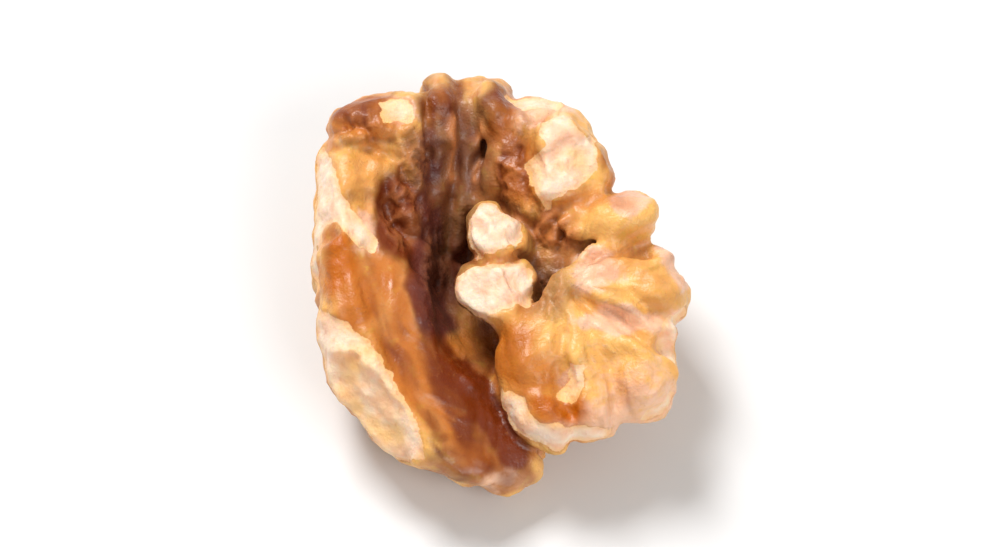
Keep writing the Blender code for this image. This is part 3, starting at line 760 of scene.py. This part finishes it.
def kernel_finish():
    """The skin and the flesh, mixed by where the flesh is bare."""
    paint = Paint("walnut_kernel_finish")
    spot = paint.add("ShaderNodeTexCoord", out="Object")
    spot = paint.add("ShaderNodeVectorMath", {"operation": "SCALE"}, {0: spot, "Scale": 1.0 / MM})
    cloud = paint.noise(spot, 2.6, 3.0)
    speck = paint.noise(spot, 0.45, 2.0)
    grit = paint.noise(spot, 0.16, 2.0)
    mottle = paint.noise(spot, 1.05, 2.0, 0.4)
    vein = paint.ramp(paint.crest(paint.noise(spot, 3.2, 1.0, 0.8)), 0.55, 1.0)
    hair = paint.ramp(paint.crest(paint.noise(spot, 1.1, 1.0, 0.5)), 0.50, 1.0)

    hollow = paint.mark("hollow")
    sleek = paint.mark("sleek")
    grain = paint.mark("grain")
    back = paint.mark("back")
    # Painted shade, partly the skin's own darker tone in its folds: depth is a brown that grows in the
    # hollows, and more on the back.
    depth = paint.ramp(hollow + 0.5 * (speck - 0.5) + 0.16 * back, 0.0, 0.75)
    depth = depth * (0.60 + 0.30 * back - 0.55 * paint.mark("pale"))
    shade = paint.ramp(paint.mark("open_sky"), 0.62, 0.22)
    flesh = paint.mark("flesh")
    edge = flesh + 0.70 * (speck - 0.5) + 0.30 * (grit - 0.5)
    bare = paint.ramp(edge, 0.34, 0.60)
    lip = paint.ramp(edge, 0.05, 0.40) * paint.ramp(cloud, 0.42, 0.60)

    # Tan in the hollows and gold on the tops of the folds: partly the skin's own tone, partly painted
    # shade.
    skin = paint.blend(TAN, GOLD, paint.ramp(cloud - 0.5 * hollow - 0.3 * sleek, 0.38, 0.66))
    skin = paint.blend(skin, GOLD, paint.mark("gold") * paint.ramp(cloud, 0.30, 0.55, 0.7, 1.0))
    skin = paint.blend(skin, OLIVE, paint.ramp(mottle, 0.54, 0.70) * (0.55 - 0.45 * back))
    # The pale mark holds the skin's pale patches and a few painted highlights.
    faded_and_glints = paint.mark("pale") + 0.5 * (speck - 0.5) + 1.1 * (mottle - 0.5)
    skin = paint.blend(skin, PALE, paint.ramp(faded_and_glints, 0.18, 0.80))
    skin = paint.blend(skin, PALE, paint.ramp(speck, 0.55, 0.85) * 0.16)
    skin = paint.blend(skin, PALE, paint.ramp(grain, -0.10, -0.6) * 0.30)
    skin = paint.blend(skin, ORANGE, paint.mark("orange") * paint.ramp(cloud, 0.25, 0.60, 0.8, 1.0))
    uneven = 0.4 * (cloud - 0.5) + 0.35 * grain
    # The brown mark holds brown skin and, under the fan's left edge, painted shadow.
    skin = paint.blend(skin, BROWN, paint.ramp(paint.mark("brown") + uneven, 0.10, 0.9))
    # Brown in the hollows: painted shade, partly the skin's own darker tone in its folds.
    skin = paint.blend(skin, BROWN, depth)
    # The purple mark holds the trough's purple skin and, beside the left wall, painted shadow.
    skin = paint.blend(skin, PURPLE, paint.mark("purple") * paint.ramp(cloud, 0.3, 0.6, 0.75, 1.0))
    # Painted shade: where little sky is seen, in the trough and between the folds, the skin goes dark
    # brown, less so under the gold patches, and the ribs' lighter colour is held back there.
    skin = paint.blend(skin, PAINTED_SHADE, 0.60 * shade * (1 - 0.8 * paint.mark("gold")))
    skin = paint.blend(skin, RIB, (0.80 - 0.65 * shade) * paint.mark("ribs"))
    skin = paint.blend(skin, BROWN, (0.12 + 0.16 * back) * vein * paint.ramp(cloud, 0.38, 0.60))
    skin = paint.blend(skin, BROWN, 0.05 * hair)
    fleck = 0.35 * paint.ramp(grit, 0.58, 0.80) * paint.ramp(speck, 0.45, 0.65)
    skin = paint.blend(skin, BROWN, fleck)
    skin = paint.blend(skin, BROWN, paint.ramp(grain, 0.0, 0.6) * (0.30 + 0.12 * sleek))
    skin = paint.blend(skin, SKIN_EDGE, 0.6 * lip)
    relief = (0.05 * mottle + 0.07 * speck + 0.04 * grit) * paint.ramp(cloud, 0.35, 0.65, 0.7, 1.5)
    relief = (relief + 0.012 * vein + 0.010 * hair) * (1 - 0.6 * sleek)
    normal = paint.add("ShaderNodeBump", None, {"Strength": 0.9, "Distance": MM, "Height": relief})
    rough = paint.ramp(speck + 0.4 * shade, 0.35, 0.9, 0.38, 0.56) - 0.06 * sleek
    skin_shader = paint.add("ShaderNodeBsdfPrincipled", None, {
        "Base Color": skin, "Roughness": rough, "Normal": normal, "Subsurface Weight": 0.20,
        "Subsurface Radius": (1.0, 0.45, 0.2), "Subsurface Scale": 0.6 * MM, "Coat Weight": 0.12,
        "Coat Roughness": 0.25, "IOR": OIL_IOR})

    # Deeper cream by noise, and in the flesh's hollows as painted shade.
    meat = paint.blend(IVORY, CREAM, paint.ramp(cloud + 0.6 * hollow, 0.40, 0.70))
    meat = paint.blend(meat, BLUSH, paint.ramp(paint.noise(spot, 1.7, 2.0), 0.42, 0.66) * 0.8)
    rind = paint.ramp(paint.mark("core") + 0.5 * (cloud - 0.5), 0.95, 0.40)
    meat = paint.blend(meat, GOLD, rind * 0.50)
    meat = paint.blend(meat, GOLD, paint.mark("orange") * paint.ramp(cloud, 0.30, 0.60, 0.3, 0.7))
    meat = paint.blend(meat, TAN, paint.ramp(speck + 0.25 * grit, 0.72, 0.95) * 0.35)
    crumbs = paint.add("ShaderNodeTexVoronoi", None, {"Vector": spot, "Scale": 1.0 / CRUMB_SIZE})
    facets = paint.add("ShaderNodeTexVoronoi", None, {"Vector": spot, "Scale": 1.0 / FACET_SIZE})
    height = 0.06 * speck + 0.035 * grit + 0.035 * crumbs + 0.10 * facets
    normal = paint.add("ShaderNodeBump", None, {"Strength": 1.0, "Distance": MM, "Height": height})
    flesh_shader = paint.add("ShaderNodeBsdfPrincipled", None, {
        "Base Color": meat, "Roughness": paint.ramp(grit, 0.3, 0.7, 0.45, 0.65), "Normal": normal,
        "Subsurface Weight": 0.50, "Subsurface Radius": (1.0, 0.65, 0.35), "Subsurface Scale": 0.8 * MM,
        "IOR": OIL_IOR})
    both = paint.add("ShaderNodeMixShader", None, {0: bare, 1: skin_shader, 2: flesh_shader})
    paint.add("ShaderNodeOutputMaterial", None, {"Surface": both})
    return paint.material


finish = kernel_finish()
mesh.materials.clear()
mesh.materials.append(finish)
print("the finish has", len(finish.node_tree.nodes), "nodes")

# %% [markdown]
# The piece stands for the CAD solid and rides on the one body there is.

# %% Onto its body
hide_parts("walnut_kernel")
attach(kernel, "root")
print("triangles:", sum(len(p.vertices) - 2 for p in mesh.polygons))

# %% [markdown]
# The stage: a large pale floor, which is not part of the object.

# %% Floor
FLOOR_SIZE = 3.0
FLOOR_GREYS = ((0.76, 0.76, 0.77, 1.0), (0.80, 0.80, 0.80, 1.0))
FIBRES_PER_METRE = 60.0


def floor():
    """A plane of pale paper under the piece."""
    bpy.ops.mesh.primitive_plane_add(size=FLOOR_SIZE, location=(0.0, 0.0, 0.0))
    plane = bpy.context.object
    plane.name = "floor"
    paint = Paint("floor_paper")
    spot = paint.add("ShaderNodeTexCoord", out="Object")
    fibre = paint.add("ShaderNodeTexNoise", None, {
        "Vector": spot, "Scale": FIBRES_PER_METRE, "Detail": 3.0})
    tint = paint.blend(*FLOOR_GREYS, fibre)
    shader = paint.add("ShaderNodeBsdfPrincipled", None, {"Base Color": tint, "Roughness": 0.8})
    paint.add("ShaderNodeOutputMaterial", None, {"Surface": shader})
    plane.data.materials.append(paint.material)
    return plane


print("floor:", floor().dimensions.x, "m wide")

# %% [markdown]
# The light is soft and bright, as in a white studio tent: a pale sky all round, one large lamp high
# behind the piece, which draws the glints along the tops of the folds, and a weak one in front. Each
# has a place and a size in metres, and a power in watts.

# %% Light
LAMPS = {
    "window": ((-0.14, 0.20, 0.38), 0.16, 1.9),
    "front": ((0.20, -0.24, 0.30), 0.20, 0.75),
}
SKY_COLOUR = (1.0, 0.965, 0.915, 1.0)
SKY_STRENGTH = 0.38


def light_it(target):
    """The sky, and the lamps aimed at the target."""
    world = bpy.data.worlds.new("tent")
    world.use_nodes = True
    sky = world.node_tree.nodes["Background"].inputs
    sky["Color"].default_value, sky["Strength"].default_value = SKY_COLOUR, SKY_STRENGTH
    bpy.context.scene.world = world
    for name, (place, size, power) in LAMPS.items():
        lamp = bpy.data.lights.new(name, "AREA")
        lamp.size, lamp.energy = size, power
        holder = bpy.data.objects.new(name, lamp)
        holder.location = place
        holder.rotation_euler = (target - Vector(place)).to_track_quat("-Z", "Y").to_euler()
        bpy.context.scene.collection.objects.link(holder)


middle = Vector(((cad_low + cad_high) / 2 * MM).tolist())
light_it(middle)
print("lamps:", list(LAMPS))

# %% [markdown]
# The camera looks down on the face from the tail's side, as in the photograph, through a long lens
# that keeps the folds' proportions.

# %% Camera
CAMERA_ELEVATION_DEG = 60.0
CAMERA_LENS = 100.0
SENSOR_WIDTH = 36.0
PICTURE_WIDTH, PICTURE_HEIGHT = 1000, 547
SHARE_OF_HEIGHT = 0.80
SEEN_HEIGHT = 32.0 * MM
CLIP_START = 0.01


def camera(target):
    """Looks at the target from where the piece fills its share of the picture; gives the distance."""
    data = bpy.data.cameras.new("camera")
    data.lens, data.sensor_width, data.clip_start = CAMERA_LENS, SENSOR_WIDTH, CLIP_START
    width = SEEN_HEIGHT / SHARE_OF_HEIGHT * PICTURE_WIDTH / PICTURE_HEIGHT
    distance = width * CAMERA_LENS / SENSOR_WIDTH
    rise = math.radians(CAMERA_ELEVATION_DEG)
    way = Vector((0.0, -math.cos(rise), math.sin(rise)))
    eye = bpy.data.objects.new("camera", data)
    eye.location = target + way * distance
    eye.rotation_euler = (-way).to_track_quat("-Z", "Y").to_euler()
    bpy.context.scene.collection.objects.link(eye)
    bpy.context.scene.camera = eye
    return distance


print("camera at", round(camera(middle), 3), "m")
bpy.context.scene.view_settings.view_transform = "Standard"
